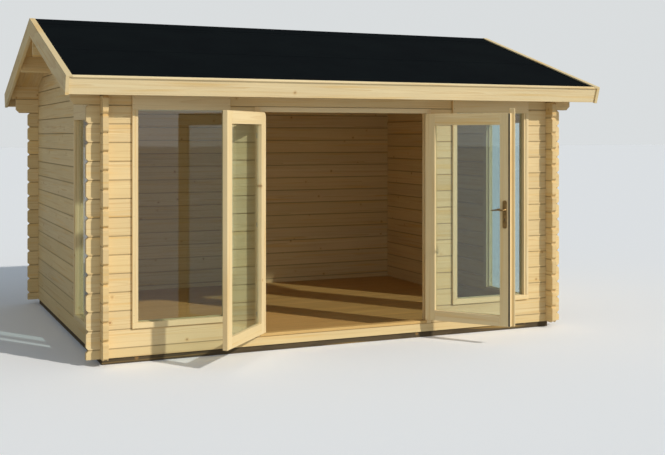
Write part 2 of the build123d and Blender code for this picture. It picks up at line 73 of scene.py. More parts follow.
class Shader:
    """One node tree under construction."""

    def __init__(self, tree, output_kind):
        self.tree = tree
        self.output = self.node(output_kind)

    def node(self, kind, inputs=None, **settings):
        made = self.tree.nodes.new(kind)
        for name, value in settings.items():
            setattr(made, name, value)
        for name, value in (inputs or {}).items():
            self.feed(made.inputs[name], value)
        return made

    def feed(self, socket, value):
        if isinstance(value, bpy.types.NodeSocket):
            self.tree.links.new(value, socket)
        else:
            socket.default_value = value

    def math(self, operation, *values):
        made = self.node("ShaderNodeMath", operation=operation)
        for socket, value in zip(made.inputs, values):
            self.feed(socket, value)
        return made.outputs[0]

    def add(self, *values):
        total = values[0]
        for value in values[1:]:
            total = self.math("ADD", total, value)
        return total

    def times(self, *values):
        product = values[0]
        for value in values[1:]:
            product = self.math("MULTIPLY", product, value)
        return product

    def join(self, x, y, z):
        return self.node("ShaderNodeCombineXYZ", {"X": x, "Y": y, "Z": z}).outputs[0]

    def split(self, vector):
        return self.node("ShaderNodeSeparateXYZ", {"Vector": vector}).outputs[:3]

    def noise(self, vector, scale=1.0, detail=2.0, roughness=0.5):
        inputs = {"Vector": vector, "Scale": scale, "Detail": detail, "Roughness": roughness}
        return self.node("ShaderNodeTexNoise", inputs).outputs[0]

    def chance(self, value):
        """Three random numbers from 0 to 1 that depend on one value."""
        made = self.node("ShaderNodeTexWhiteNoise", {"W": value}, noise_dimensions="1D")
        return self.split(made.outputs["Color"])

    def between(self, value, low, high, to_low=0.0, to_high=1.0, smooth=False):
        inputs = {"Value": value, "From Min": low, "From Max": high, "To Min": to_low, "To Max": to_high}
        kind = "SMOOTHSTEP" if smooth else "LINEAR"
        return self.node("ShaderNodeMapRange", inputs, interpolation_type=kind).outputs[0]

    def mix(self, factor, first, second, blend="MIX"):
        made = self.node("ShaderNodeMix", data_type="RGBA", blend_type=blend)
        self.feed(made.inputs[0], factor)
        self.feed(made.inputs[6], first)
        self.feed(made.inputs[7], second)
        return made.outputs[2]

    def bump(self, height, strength, distance):
        inputs = {"Height": height, "Strength": strength, "Distance": distance}
        return self.node("ShaderNodeBump", inputs).outputs[0]

    def surface(self, **sockets):
        inputs = {name.replace("_", " "): value for name, value in sockets.items()}
        made = self.node("ShaderNodeBsdfPrincipled", inputs)
        self.tree.links.new(made.outputs[0], self.output.inputs[0])


def new_material(name):
    """An empty material and the builder of its nodes."""
    material = bpy.data.materials.new(name)
    material.use_nodes = True
    material.node_tree.nodes.clear()
    return material, Shader(material.node_tree, "ShaderNodeOutputMaterial")


def srgb(red, green, blue):
    """Linear colour of an 8-bit display colour."""
    def linear(value):
        value /= 255
        return value / 12.92 if value <= 0.04045 else ((value + 0.055) / 1.055) ** 2.4
    return (linear(red), linear(green), linear(blue), 1.0)


# Where a board's grain runs: each function gives the coordinates along the grain, across it
# and through the board, a number for the board, and how far a face is end grain

def grain_of_pieces(shader):
    """Grain stored on the boards that this script makes."""
    grain = shader.node("ShaderNodeAttribute", attribute_name="grain")
    board = shader.node("ShaderNodeAttribute", attribute_name="board")
    end = shader.node("ShaderNodeAttribute", attribute_name="end_grain")
    along, across, through = shader.split(grain.outputs["Vector"])
    return along, across, through, board.outputs["Fac"], end.outputs["Fac"]


def grain_of_logs(direction, seed, course_shift, wall_middle):
    """Grain of stacked logs along X or Y, one board number for each course."""
    def coordinates(shader):
        place = shader.node("ShaderNodeTexCoord")
        x, y, z = shader.split(place.outputs["Object"])
        normal = shader.split(place.outputs["Normal"])
        along, through, end = (x, y, normal[0]) if direction == "X" else (y, x, normal[1])
        height = shader.math("SUBTRACT", z, WALL_BOTTOM)
        course = shader.math("FLOOR", shader.add(shader.times(height, 1 / LOG_COURSE), course_shift))
        middle = shader.times(shader.add(course, 0.5 - course_shift), LOG_COURSE)
        across = shader.math("SUBTRACT", height, middle)
        depth = shader.math("SUBTRACT", through, wall_middle)
        end_grain = shader.between(shader.math("ABSOLUTE", end), 0.35, 0.75)
        return along, across, depth, shader.add(course, seed), end_grain
    return coordinates


def grain_of_slopes(seed, runs_down=True):
    """Grain of boards that lie on the two roof slopes and run down them, or along the eaves."""
    def coordinates(shader):
        place = shader.node("ShaderNodeTexCoord")
        x, y, z = shader.split(place.outputs["Object"])
        flat = shader.math("ABSOLUTE", y)
        cosine, sine = math.cos(ROOF_SLOPE), math.sin(ROOF_SLOPE)
        below_ridge = shader.math("SUBTRACT", RIDGE_HEIGHT, z)
        down = shader.add(shader.times(flat, cosine), shader.times(below_ridge, sine))
        lift = shader.math("SUBTRACT", shader.times(flat, sine), shader.times(below_ridge, cosine))
        above = shader.math("GREATER_THAN", lift, FELT_LIFT)
        board = shader.add(shader.math("SIGN", y), shader.times(above, 5.0), seed)
        if runs_down:
            return down, lift, x, shader.add(board, shader.math("SIGN", x)), 0.0
        return x, lift, shader.add(down, -2.0), board, 0.0
    return coordinates


EARLY_WOOD = srgb(233, 208, 155)
LATE_WOOD = srgb(199, 156, 94)
KNOT_WOOD = srgb(138, 90, 46)
KNOT_HALO = srgb(208, 160, 92)
RESIN_WOOD = srgb(228, 184, 104)
# Colour of the painted shadow in the V-grooves between log courses
JOINT_SHADOW_COLOUR = srgb(128, 98, 58)
RING_SPACING = 0.0046
KNOT_CELL = 0.19
KNOT_LEAST_RADIUS = 0.0030
KNOT_RADIUS_SPREAD = 0.006
KNOT_HALO_WIDTH = 0.018
# Strength and soft edge of the painted joint shadow
JOINT_SHADE = 0.42
JOINT_BLUR = 0.0012


def wood_knots(s, along, across, shift, third, share):
    """Knots, which are short branches across the board: how far in one, how near to one, and its tint."""
    place = s.join(
        s.add(s.times(along, 1 / KNOT_CELL), shift), s.add(s.times(across, 1 / KNOT_CELL), third), 0.0
    )
    cell = s.node("ShaderNodeTexVoronoi", {"Vector": place, "Scale": 1.0}, voronoi_dimensions="2D")
    pick, size, tint = s.split(cell.outputs["Color"])
    distance = s.times(cell.outputs["Distance"], KNOT_CELL)
    kept = s.math("GREATER_THAN", pick, 1 - share)
    radius = s.add(s.times(size, KNOT_RADIUS_SPREAD), KNOT_LEAST_RADIUS)
    beyond = s.math("SUBTRACT", distance, radius)
    core = s.times(kept, s.between(beyond, 0.0015, -0.0005, smooth=True))
    halo = s.times(kept, s.between(beyond, KNOT_HALO_WIDTH, 0.0, smooth=True))
    return core, halo, tint


def wood(
    name, coordinates, early=EARLY_WOOD, late=LATE_WOOD,
    knots=0.16, contrast=0.5, gloss=0.55, shaded_joints=False,
):
    """Planed softwood: growth rings about a pith, fibres, knots, end grain and a tone for each board; logs
    with shaded joints also get painted shade along the grooves between courses.
    """
    material, s = new_material(name)
    along, across, through, board, end = coordinates(s)
    first, second, third = s.chance(s.add(s.times(board, 7.31), 3.7))
    shift = s.times(first, 40.0)

    def streaks(stretch, across_scale, depth, detail=2.0):
        """Noise drawn out along the grain."""
        place = s.join(s.add(s.times(along, stretch), shift), s.times(across, across_scale), depth)
        return s.noise(place, 1.0, detail)

    drift = streaks(0.7, 0.0, second)
    wobble = streaks(2.2, 16.0, s.times(through, 16.0))
    fibre = streaks(6.0, 330.0, s.times(through, 330.0), 3.0)
    cloud = streaks(1.3, 9.0, s.times(through, 5.0), 3.0)
    streak = streaks(0.8, 42.0, 0.0)
    resin = streaks(0.9, 24.0, 5.0)
    core, halo, tint = wood_knots(s, along, across, shift, third, knots)

    # Growth rings run round a pith that drifts along the board and bend about knots
    pith_across = s.times(s.add(second, -0.5), 0.11)
    pith_depth = s.add(s.times(third, 0.06), 0.028)
    side = s.add(across, s.times(-1.0, pith_across), s.times(s.add(drift, -0.5), 0.05))
    depth = s.add(through, pith_depth, s.times(s.add(first, -0.5), 0.016, along))
    ring = s.math("SQRT", s.add(s.times(side, side), s.times(depth, depth)))
    ring = s.add(ring, s.times(s.add(wobble, -0.5), 0.007), s.times(halo, 0.006))
    phase = s.math("FRACT", s.times(ring, 1 / RING_SPACING))
    late_share = s.times(s.math("POWER", phase, 2.6), s.between(phase, 1.0, 0.93))

    colour = s.mix(s.times(late_share, contrast), early, late)
    colour = s.mix(s.between(streak, 0.54, 0.74, 0.0, 0.42), colour, late)
    colour = s.mix(s.between(resin, 0.56, 0.72, 0.0, 0.55), colour, RESIN_WOOD)
    colour = s.mix(s.times(halo, 0.35), colour, KNOT_HALO)
    colour = s.mix(s.times(core, s.add(0.2, s.times(tint, 0.4))), colour, KNOT_WOOD)
    colour = s.mix(s.times(end, 0.22), colour, late)
    tone = s.add(0.80, s.times(second, 0.10), s.times(cloud, 0.16), s.times(fibre, 0.12))
    green = s.times(tone, s.add(0.985, s.times(third, 0.02)))
    blue = s.times(tone, s.add(0.94, s.times(third, 0.10)))
    colour = s.mix(1.0, colour, s.join(tone, green, blue), "MULTIPLY")
    # Painted shade: each log darkens towards its top and bottom edge, where the groove between courses lies
    # in shadow; end-grain faces are left out
    if shaded_joints:
        edge = s.between(s.math("ABSOLUTE", across), JOINT_EDGE - JOINT_BLUR, JOINT_EDGE, smooth=True)
        side_grain = s.math("SUBTRACT", 1.0, end)
        colour = s.mix(s.times(edge, side_grain, JOINT_SHADE), colour, JOINT_SHADOW_COLOUR)
    height = s.add(s.times(late_share, 0.6), s.times(fibre, 0.5), s.times(core, 0.5))
    roughness = s.add(gloss, s.times(fibre, 0.14), s.times(late_share, -0.08))
    s.surface(
        Base_Color=colour, Roughness=roughness, Normal=s.bump(height, 0.35, 0.0006),
        IOR=1.45, Specular_IOR_Level=0.3,
    )
    return material


def felt_material():
    """Smooth black bituminous felt with faint weathering."""
    material, s = new_material("roof_felt")
    place = s.node("ShaderNodeTexCoord").outputs["Object"]
    grit = s.noise(place, 900.0, 2.0, 0.7)
    patch = s.noise(place, 2.3, 4.0, 0.6)
    colour = s.mix(s.between(patch, 0.3, 0.7), srgb(10, 14, 17), srgb(14, 19, 21))
    colour = s.mix(s.between(grit, 0.55, 0.8, 0.0, 0.35), colour, srgb(26, 32, 35))
    roughness = s.add(0.86, s.times(grit, 0.12))
    s.surface(
        Base_Color=colour, Roughness=roughness, Normal=s.bump(grit, 0.3, 0.0003),
        IOR=1.45, Specular_IOR_Level=0.02,
    )
    return material


def glass_material():
    """Clear float glass: little mirrored face on, more at a slant, and light passes through."""
    material, s = new_material("window_glass")
    place = s.node("ShaderNodeTexCoord").outputs["Object"]
    ripple = s.noise(place, 1.6, 1.0)
    clear = s.node("ShaderNodeBsdfTransparent", {"Color": (0.86, 0.91, 0.91, 1.0)})
    wavy = s.bump(ripple, 0.03, 0.01)
    white = (1.0, 1.0, 1.0, 1.0)
    shine = s.node("ShaderNodeBsdfGlossy", {"Color": white, "Roughness": 0.02, "Normal": wavy})
    slant = s.node("ShaderNodeLayerWeight", {"Blend": 0.5}).outputs["Facing"]
    mirrored = s.add(0.05, s.times(0.95, s.math("POWER", slant, 5.0)))
    both = s.node("ShaderNodeMixShader")
    s.feed(both.inputs[0], mirrored)
    s.feed(both.inputs[1], clear.outputs[0])
    s.feed(both.inputs[2], shine.outputs[0])
    s.feed(s.output.inputs[0], both.outputs[0])
    return material


def metal(name, colour, worn, roughness):
    """Metal with fine scratches and duller worn patches."""
    material, s = new_material(name)
    place = s.node("ShaderNodeTexCoord").outputs["Object"]
    patch = s.noise(place, 34.0, 3.0, 0.6)
    brushed = s.node("ShaderNodeMapping", {"Vector": place, "Scale": (9.0, 9.0, 1.0)}).outputs[0]
    line = s.noise(brushed, 180.0)
    mixed = s.mix(s.between(patch, 0.45, 0.7), colour, worn)
    rough = s.add(roughness, s.times(patch, 0.16), s.times(line, 0.08))
    s.surface(Base_Color=mixed, Metallic=1.0, Roughness=rough, Normal=s.bump(line, 0.12, 0.0002))
    return material


def rubber_material():
    """Dark rubber of the door's weather seal; the same colour serves as painted shade in the keyholes."""
    material, s = new_material("seal_rubber_and_keyhole_shade")
    grain = s.noise(s.node("ShaderNodeTexCoord").outputs["Object"], 260.0, 2.0)
    colour = s.mix(grain, srgb(38, 34, 30), srgb(58, 52, 46))
    s.surface(Base_Color=colour, Roughness=s.add(0.6, s.times(grain, 0.2)), IOR=1.5)
    return material


long_front = -HALF_DEPTH + LOG_THICKNESS / 2
long_back = HALF_DEPTH - LOG_THICKNESS / 2
side_left = -HALF_LENGTH + LOG_THICKNESS / 2
side_right = HALF_LENGTH - LOG_THICKNESS / 2
joinery_wood = wood(
    "joinery_wood", grain_of_pieces, srgb(238, 214, 164), srgb(210, 168, 104),
    knots=0.06, contrast=0.38, gloss=0.48,
)
threshold_wood = wood(
    "threshold_wood", grain_of_pieces, srgb(216, 178, 112), srgb(172, 124, 66),
    knots=0.05, contrast=0.5, gloss=0.48,
)
board_wood = wood("board_wood", grain_of_pieces, srgb(230, 200, 144), srgb(198, 152, 88), knots=0.3)
floor_wood = wood(
    "floor_wood", grain_of_pieces, srgb(206, 164, 98), srgb(160, 112, 58),
    knots=0.1, contrast=0.6, gloss=0.42,
)
treated_wood = wood(
    "treated_wood", grain_of_logs("X", 91, 0.5, 0), srgb(92, 78, 56), srgb(60, 48, 32),
    knots=0.1, gloss=0.7,
)
trim_wood = wood("trim_wood", grain_of_slopes(51), srgb(230, 208, 160), srgb(202, 162, 106))
# The fascia wood is paler than the rest; part of that is painted light, making up for the sun that the
# fascia's tilted face misses
eaves_wood = wood(
    "eaves_wood", grain_of_slopes(71, runs_down=False), srgb(243, 222, 176), srgb(216, 178, 120), knots=0.08
)
roof_felt = felt_material()
window_glass = glass_material()
hinge_metal = metal("hinge_metal", srgb(172, 170, 164), srgb(128, 126, 120), 0.34)
handle_brass = metal("handle_brass", srgb(150, 122, 78), srgb(108, 86, 54), 0.34)
screw_metal = metal("screw_metal", srgb(190, 178, 140), srgb(140, 126, 92), 0.38)
seal_rubber_and_keyhole_shade = rubber_material()

LOG_NODES = {
    "front_sill_log": ("X", 10, 0.5, long_front),
    "front_wall_left": ("X", 40, 0.5, long_front),
    "front_wall_right": ("X", 70, 0.5, long_front),
    "front_top_log": ("X", 100, 0.5, long_front),
    "front_eave_purlin": ("X", 130, 0.5, long_front),
    "back_wall": ("X", 160, 0.5, long_back),
    "back_top_log": ("X", 190, 0.5, long_back),
    "back_eave_purlin": ("X", 220, 0.5, long_back),
    "left_wall": ("Y", 250, 0.0, side_left),
    "right_wall": ("Y", 280, 0.0, side_right),
    "left_gable": ("Y", 310, 0.0, side_left),
    "right_gable": ("Y", 340, 0.0, side_right),
    "ridge_purlin": ("X", 370, 0.2, 0.0),
    "front_mid_purlin": ("X", 400, 0.6, -HALF_DEPTH / 2),
    "back_mid_purlin": ("X", 430, 0.6, HALF_DEPTH / 2),
}


LOG_EDGE = 0.0012
BOARD_EDGE = 0.0015


def soften(piece, width):
    """Break the sharp edges of a CAD node, as planing and handling do."""
    weld = piece.modifiers.new("weld", "WELD")
    weld.merge_threshold = 0.00001
    bevel = piece.modifiers.new("bevel", "BEVEL")
    bevel.width = width
    bevel.segments = 2
    bevel.limit_method = "ANGLE"
    bevel.angle_limit = math.radians(25)
    bevel.use_clamp_overlap = True


def finish_node(name, material, edge=None):
    """Give a CAD node its material and, for wood, softened edges."""
    node = frame["nodes"][name]
    node.data.materials.clear()
    node.data.materials.append(material)
    if edge:
        soften(node, edge)


for name, grain in LOG_NODES.items():
    # All logs except the ridge and mid purlins get the painted joint shadow
    shaded_joints = "purlin" not in name or "eave" in name
    finish_node(name, wood(f"log_wood_{name}", grain_of_logs(*grain), shaded_joints=shaded_joints), LOG_EDGE)
for side in ("left", "right"):
    finish_node(f"{side}_bargeboards", trim_wood, BOARD_EDGE)
    finish_node(f"{side}_barge_caps", trim_wood, BOARD_EDGE)
    finish_node(f"{side}_door_pane", window_glass)
for side in ("front", "back"):
    finish_node(f"{side}_fascia", eaves_wood, BOARD_EDGE)
for place in ("front_left", "front_right", "left_side", "right_side"):
    finish_node(f"{place}_window_pane", window_glass)
finish_node("foundation_bearers", treated_wood, BOARD_EDGE)


# Mesh building: pieces are gathered from boards, bars and turned shapes

BOARD_CHAMFER = 0.002


def straight(point):
    return Vector(point)


def circle(count):
    """Cosine and sine of each of the equal steps round a circle."""
    angles = [2 * math.pi * step / count for step in range(count)]
    return [(math.cos(angle), math.sin(angle)) for angle in angles]


def span(sign, start, end):
    """Two distances from a middle line, in rising order on the side that sign gives."""
    return sorted((sign * start, sign * end))


def skin(rows, size):
    """Faces round rows of equal rings of points, with a cap at each end."""
    faces = []
    for row in range(rows - 1):
        for step in range(size):
            a, b = row * size + step, row * size + (step + 1) % size
            faces.append([a, b, b + size, a + size])
    faces.append(list(range(size))[::-1])
    faces.append([(rows - 1) * size + step for step in range(size)])
    return faces


class Builder:
    """Gathers vertices, faces and each board's grain for one piece."""

    def __init__(self, place=straight, mirrored=False):
        self.place = place
        self.mirrored = mirrored
        self.points = []
        self.grain = []
        self.board = []
        self.faces = []
        self.end_grain = []
        self.smooth = []

    def mesh(self, points, faces, grain=None, board=0.0, ends=(), smooth=False):
        """Add a shape given in the builder's own coordinates."""
        start = len(self.points)
        self.points += [self.place(point) for point in points]
        self.grain += [Vector(g) for g in (grain or points)]
        self.board += [board] * len(points)
        turned = [face[::-1] if self.mirrored else face for face in faces]
        self.faces += [[start + index for index in face] for face in turned]
        self.end_grain += [1.0 if index in ends else 0.0 for index in range(len(faces))]
        self.smooth += [smooth] * len(faces)

    def board_box(self, low, high, axis, chamfer=BOARD_CHAMFER, warp=None):
        """Board between two corners with chamfered edges and its grain along one axis."""
        low = Vector(low)
        high = Vector(high)
        middle = (low + high) / 2
        points = []
        index = {}
        for corner in range(8):
            signs = [1 if corner >> bit & 1 else -1 for bit in range(3)]
            for flat in range(3):
                point = []
                for bit in range(3):
                    reach = (high[bit] - low[bit]) / 2 - (0 if bit == flat else chamfer)
                    point.append(middle[bit] + signs[bit] * reach)
                index[corner, flat] = len(points)
                points.append(point)
        faces = []
        ends = set()
        for flat in range(3):
            one, two = [bit for bit in range(3) if bit != flat]
            for value in (0, 1):
                ring = [(0, 0), (1, 0), (1, 1), (0, 1)]
                face = [index[(value << flat) | (a << one) | (b << two), flat] for a, b in ring]
                if (value == 1) == (flat == 1):
                    face.reverse()
                if flat == axis:
                    ends.add(len(faces))
                faces.append(face)
        for bit in range(3):
            one, two = [other for other in range(3) if other != bit]
            for a in (0, 1):
                for b in (0, 1):
                    near = (a << one) | (b << two)
                    far = near | (1 << bit)
                    faces.append([index[near, one], index[far, one], index[far, two], index[near, two]])
        for corner in range(8):
            faces.append([index[corner, flat] for flat in range(3)])
        faces = [outward(face, points, middle) for face in faces]
        others = [bit for bit in range(3) if bit != axis]
        order = [axis] + sorted(others, key=lambda bit: low[bit] - high[bit])
        grain = [[point[bit] - middle[bit] for bit in order] for point in points]
        if warp:
            points = [warp(Vector(point)) for point in points]
        self.mesh(points, faces, grain, random.random() * 100, ends)

    def turned(self, profile, place, sides):
        """Turned shape: profile is (radius, height) pairs about a local Z axis."""
        points = []
        for radius, height in profile:
            for cosine, sine in circle(sides):
                points.append(place(Vector((radius * cosine, radius * sine, height))))
        self.mesh(points, skin(len(profile), sides), smooth=True)

    def loft(self, sections, smooth=True):
        """Skin closed sections of equal length, capped at both ends."""
        points = [point for section in sections for point in section]
        self.mesh(points, skin(len(sections), len(sections[0])), smooth=smooth)

    def finish(self, name, body, material, slot, *nodes):
        """Make the object, put it on its body and hide the CAD nodes that it stands for."""
        data = bpy.data.meshes.new(name)
        data.from_pydata(self.points, [], self.faces)
        data.validate()
        for attribute, kind, domain, values in (
            ("board", "FLOAT", "POINT", self.board),
            ("end_grain", "FLOAT", "FACE", self.end_grain),
        ):
            data.attributes.new(attribute, kind, domain).data.foreach_set("value", values)
        flat = [number for vector in self.grain for number in vector]
        data.attributes.new("grain", "FLOAT_VECTOR", "POINT").data.foreach_set("vector", flat)
        data.polygons.foreach_set("use_smooth", self.smooth)
        data.update()
        piece = bpy.data.objects.new(name, data)
        bpy.context.scene.collection.objects.link(piece)
        data.materials.append(material)
        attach(piece, body)
        if nodes:
            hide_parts(*nodes)


def outward(face, points, middle):
    """The face turned so that it looks away from the middle of its convex shape."""
    corners = [Vector(points[index]) for index in face]
    normal = (corners[1] - corners[0]).cross(corners[2] - corners[0])
    centre = sum(corners, Vector()) / len(corners)
    return face if normal.dot(centre - middle) > 0 else face[::-1]


# Roof boards, felt and floor

PLUMB_REACH = 0.05


def on_slope(direction):
    """Map (x, distance down the slope, height square to it) onto the roof; cuts at the ridge are plumb."""
    cosine, sine = math.cos(ROOF_SLOPE), math.sin(ROOF_SLOPE)

    def place(point):
        x, down, lift = point
        square = min(max(down / PLUMB_REACH, 0.0), 1.0)
        out = down * cosine + square * lift * sine
        up = lift * (square * cosine + (1 - square) / cosine)
        return Vector((x, direction * out, RIDGE_HEIGHT - down * sine + up))
    return place


ROOF_BOARD_WIDTH = 0.096
ROOF_BOARD_GAP = 0.0002
ROOF_BOARD_GROOVE = 0.003
SHEET_THICKNESS = 0.0016
SHEET_WIDTH = 0.96
SHEET_LAP = 0.09
SHEET_EDGE = 0.0004
RIDGE_STRIP_HALF = 0.16
RIDGE_FOLD_HALF = 0.10
RIDGE_FOLD_RISE = 0.0072


def slope_length(name, top):
    """Length down the slope of a slab that is cut square at the eave, from its box and its top."""
    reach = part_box(name)[1].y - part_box(name)[0].y - SEAT_GAP / 2
    return (reach - top * math.sin(ROOF_SLOPE)) / math.cos(ROOF_SLOPE)


def roof_boards(side, direction):
    """Tongued boards from ridge to eave; their chamfers make the grooves seen from below."""
    low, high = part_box(f"{side}_roof_boards")
    length = high.x - low.x
    count = round(length / ROOF_BOARD_WIDTH)
    end = slope_length(f"{side}_roof_boards", ROOF_BOARD)
    boards = Builder(on_slope(direction), direction < 0)
    for number in range(count):
        x = low.x + number * length / count
        x_end = x + length / count - ROOF_BOARD_GAP
        boards.board_box((x, SEAT_GAP / 2, 0), (x_end, end, ROOF_BOARD), 1, ROOF_BOARD_GROOVE)
    boards.finish(f"{side}_roof_boarding", "cabin", board_wood, "board_wood", f"{side}_roof_boards")


def roof_sheets(side, direction):
    """Felt sheets laid from the eave up, each lapped over the one below."""
    low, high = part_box(f"{side}_roof_felt")
    eave = slope_length(f"{side}_roof_felt", FELT_LIFT + FELT_THICKNESS)
    sheets = Builder(on_slope(direction), direction < 0)
    lower = eave
    while lower > SHEET_LAP:
        upper = max(lower - SHEET_WIDTH, SEAT_GAP / 2)
        lift = FELT_THICKNESS - SHEET_THICKNESS if lower < eave else 0.0

        def tilt(point, lower=lower, upper=upper, lift=lift):
            return point + Vector((0, 0, lift * (point.y - upper) / (lower - upper)))

        corner = (low.x, upper, FELT_LIFT)
        sheets.board_box(corner, (high.x, lower, FELT_LIFT + SHEET_THICKNESS), 0, SHEET_EDGE, tilt)
        lower -= SHEET_WIDTH - SHEET_LAP
    sheets.finish(f"{side}_roof_sheets", "cabin", roof_felt, "roof_felt", f"{side}_roof_felt")


def ridge_strip():
    """Strip of felt folded over the ridge between the caps."""
    steps = 16
    sections = []
    for x in (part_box("left_barge_caps")[1].x + SEAT_GAP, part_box("right_barge_caps")[0].x - SEAT_GAP):
        under, over = [], []
        for step in range(-steps, steps + 1):
            down = abs(step) / steps * RIDGE_STRIP_HALF
            place = on_slope(1 if step >= 0 else -1)
            rise = RIDGE_FOLD_RISE * max(0.0, 1 - down / RIDGE_FOLD_HALF) ** 2
            lift = FELT_LIFT + FELT_THICKNESS + rise
            under.append(place((x, down, lift)))
            over.append(place((x, down, lift + SHEET_THICKNESS)))
        sections.append(under + over[::-1])
    strip = Builder()
    strip.loft(sections, smooth=False)
    strip.finish("ridge_felt_strip", "cabin", roof_felt, "roof_felt")


for side, direction in (("front", -1), ("back", 1)):
    roof_boards(side, direction)
    roof_sheets(side, direction)
ridge_strip()

FLOOR_BOARD_WIDTH = 0.118
FLOOR_BOARD_GAP = 0.0004
FLOOR_BOARD_GROOVE = 0.0012
low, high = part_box("floor")
floor_boards = Builder()
board_count = round((high.y - low.y) / FLOOR_BOARD_WIDTH)
for number in range(board_count):
    y = low.y + number * (high.y - low.y) / board_count
    y_end = y + (high.y - low.y) / board_count - FLOOR_BOARD_GAP
    floor_boards.board_box((low.x, y, low.z), (high.x, y_end, high.z), 0, FLOOR_BOARD_GROOVE)
floor_boards.finish("floor_boards", "cabin", floor_wood, "floor_wood", "floor")


# Windows: casing, sash, beads and inner lining about each pane

WINDOW_WIDTH = 0.800
WINDOW_HEIGHT = 12 * LOG_COURSE
WINDOW_OFFSET = 0.245
SIDE_RAIL = 0.048
BOTTOM_RAIL = 0.044
TOP_RAIL = 0.032
HEAD_CASING = 0.133
GLASS_HALF = WINDOW_WIDTH / 2 - SIDE_RAIL
GLASS_LOW = BOTTOM_RAIL
GLASS_HIGH = WINDOW_HEIGHT - TOP_RAIL
HEAD_TOP = GLASS_HIGH + HEAD_CASING
TRIM_OVERLAP = 0.025
CASING_WIDTH = 0.026
CASING_GAP = 0.0004
SASH_STEP = 0.006
PANE_SETBACK = 0.020
PANE_THICKNESS = 0.006
BEAD = 0.009
BEAD_CHAMFER = 0.003


def window(name, origin, right, out):
    """One window unit; right and out are its directions as seen from outside."""
    origin, right, out = Vector(origin), Vector(right), Vector(out)
    frame_boards = Builder(lambda p: origin + p[0] * right + p[1] * UPWARD + p[2] * out)
    half = WINDOW_WIDTH / 2
    core = half - TRIM_OVERLAP - SEAT_GAP
    back = -LOG_THICKNESS - SEAT_GAP
    inner = back - LINING_THICKNESS
    sash_front = TRIM_THICKNESS - SASH_STEP
    bead_front = -PANE_SETBACK - PANE_THICKNESS - SEAT_GAP
    bead_back = bead_front - BEAD
    for sign in (-1, 1):
        x0, x1 = span(sign, half - CASING_WIDTH, half)
        frame_boards.board_box((x0, GLASS_LOW + SEAT_GAP, SEAT_GAP), (x1, GLASS_HIGH, TRIM_THICKNESS), 1)
        x0, x1 = span(sign, GLASS_HALF, half - CASING_WIDTH - CASING_GAP)
        frame_boards.board_box((x0, GLASS_LOW + SEAT_GAP, SEAT_GAP), (x1, GLASS_HIGH, sash_front), 1)
        x0, x1 = span(sign, GLASS_HALF, core)
        frame_boards.board_box((x0, GLASS_LOW, back), (x1, GLASS_HIGH, 0), 1)
        x0, x1 = span(sign, GLASS_HALF, half)
        frame_boards.board_box((x0, GLASS_LOW, inner), (x1, GLASS_HIGH, back - SEAT_GAP), 1)
        x0, x1 = span(sign, GLASS_HALF - BEAD, GLASS_HALF)
        frame_boards.board_box((x0, GLASS_LOW, bead_back), (x1, GLASS_HIGH, bead_front), 1, BEAD_CHAMFER)
    for low, high in ((SEAT_GAP, GLASS_LOW), (GLASS_HIGH + SEAT_GAP, HEAD_TOP)):
        frame_boards.board_box((-half, low, SEAT_GAP), (half, high, TRIM_THICKNESS), 0)
    frame_boards.board_box((-core, SEAT_GAP, back), (core, GLASS_LOW, 0), 0)
    frame_boards.board_box((-core, GLASS_HIGH, back), (core, WINDOW_HEIGHT - SEAT_GAP, 0), 0)
    frame_boards.board_box((-half, SEAT_GAP, inner), (half, GLASS_LOW, back - SEAT_GAP), 0)
    inner_top = WINDOW_HEIGHT + TRIM_OVERLAP
    frame_boards.board_box((-half, GLASS_HIGH, inner), (half, inner_top, back - SEAT_GAP), 0)
    for edge, inward in ((GLASS_LOW, 1), (GLASS_HIGH, -1)):
        y0, y1 = sorted((edge, edge + inward * BEAD))
        reach = GLASS_HALF - BEAD
        frame_boards.board_box((-reach, y0, bead_back), (reach, y1, bead_front), 0, BEAD_CHAMFER)
    frame_boards.finish(
        f"{name}_window_joinery", "cabin", joinery_wood, "joinery_wood", f"{name}_window_frame"
    )


window_x = HALF_LENGTH - WINDOW_OFFSET - WINDOW_WIDTH / 2
window_y = -HALF_DEPTH + WINDOW_OFFSET + WINDOW_WIDTH / 2
front_window_z = WALL_BOTTOM + 1.5 * LOG_COURSE
side_window_z = WALL_BOTTOM + LOG_COURSE
WINDOW_UNITS = (
    ("front_left", (-window_x, -HALF_DEPTH, front_window_z), (1, 0, 0), (0, -1, 0)),
    ("front_right", (window_x, -HALF_DEPTH, front_window_z), (1, 0, 0), (0, -1, 0)),
    ("left_side", (-HALF_LENGTH, window_y, side_window_z), (0, -1, 0), (-1, 0, 0)),
    ("right_side", (HALF_LENGTH, window_y, side_window_z), (0, 1, 0), (1, 0, 0)),
)
for unit in WINDOW_UNITS:
    window(*unit)


# Door frame, threshold and leaves

FRAME_HALF = 0.820
JAMB_WIDTH = 0.041
HEAD_HEIGHT = 0.041
STOP_WIDTH = 0.010
FRAME_LIP = 0.020
FRAME_LIP_GAP = 0.0005
LEAF_CLEARANCE = 0.005
LEAF_MIDDLE_GAP = 0.007
LEAF_THICKNESS = 0.040
STILE_WIDTH = 0.090
TOP_RAIL_WIDTH = 0.100
BOTTOM_RAIL_WIDTH = 0.088
LEAF_CORNER = 0.040
CORNER_STEPS = 8
BATTEN_SEAT = 0.020
BATTEN_LIP = 0.027
BATTEN_GAP = 0.0053
BATTEN_THICKNESS = 0.012
REBATE_WIDTH = 0.016
REBATE_DEPTH = 0.005
SEAL_INSET = 0.001
HINGE_OFFSET = 0.009
THRESHOLD_CHAMFER = 0.003
BATTEN_CHAMFER = 0.003
BATTEN_SEAT_CHAMFER = 0.001

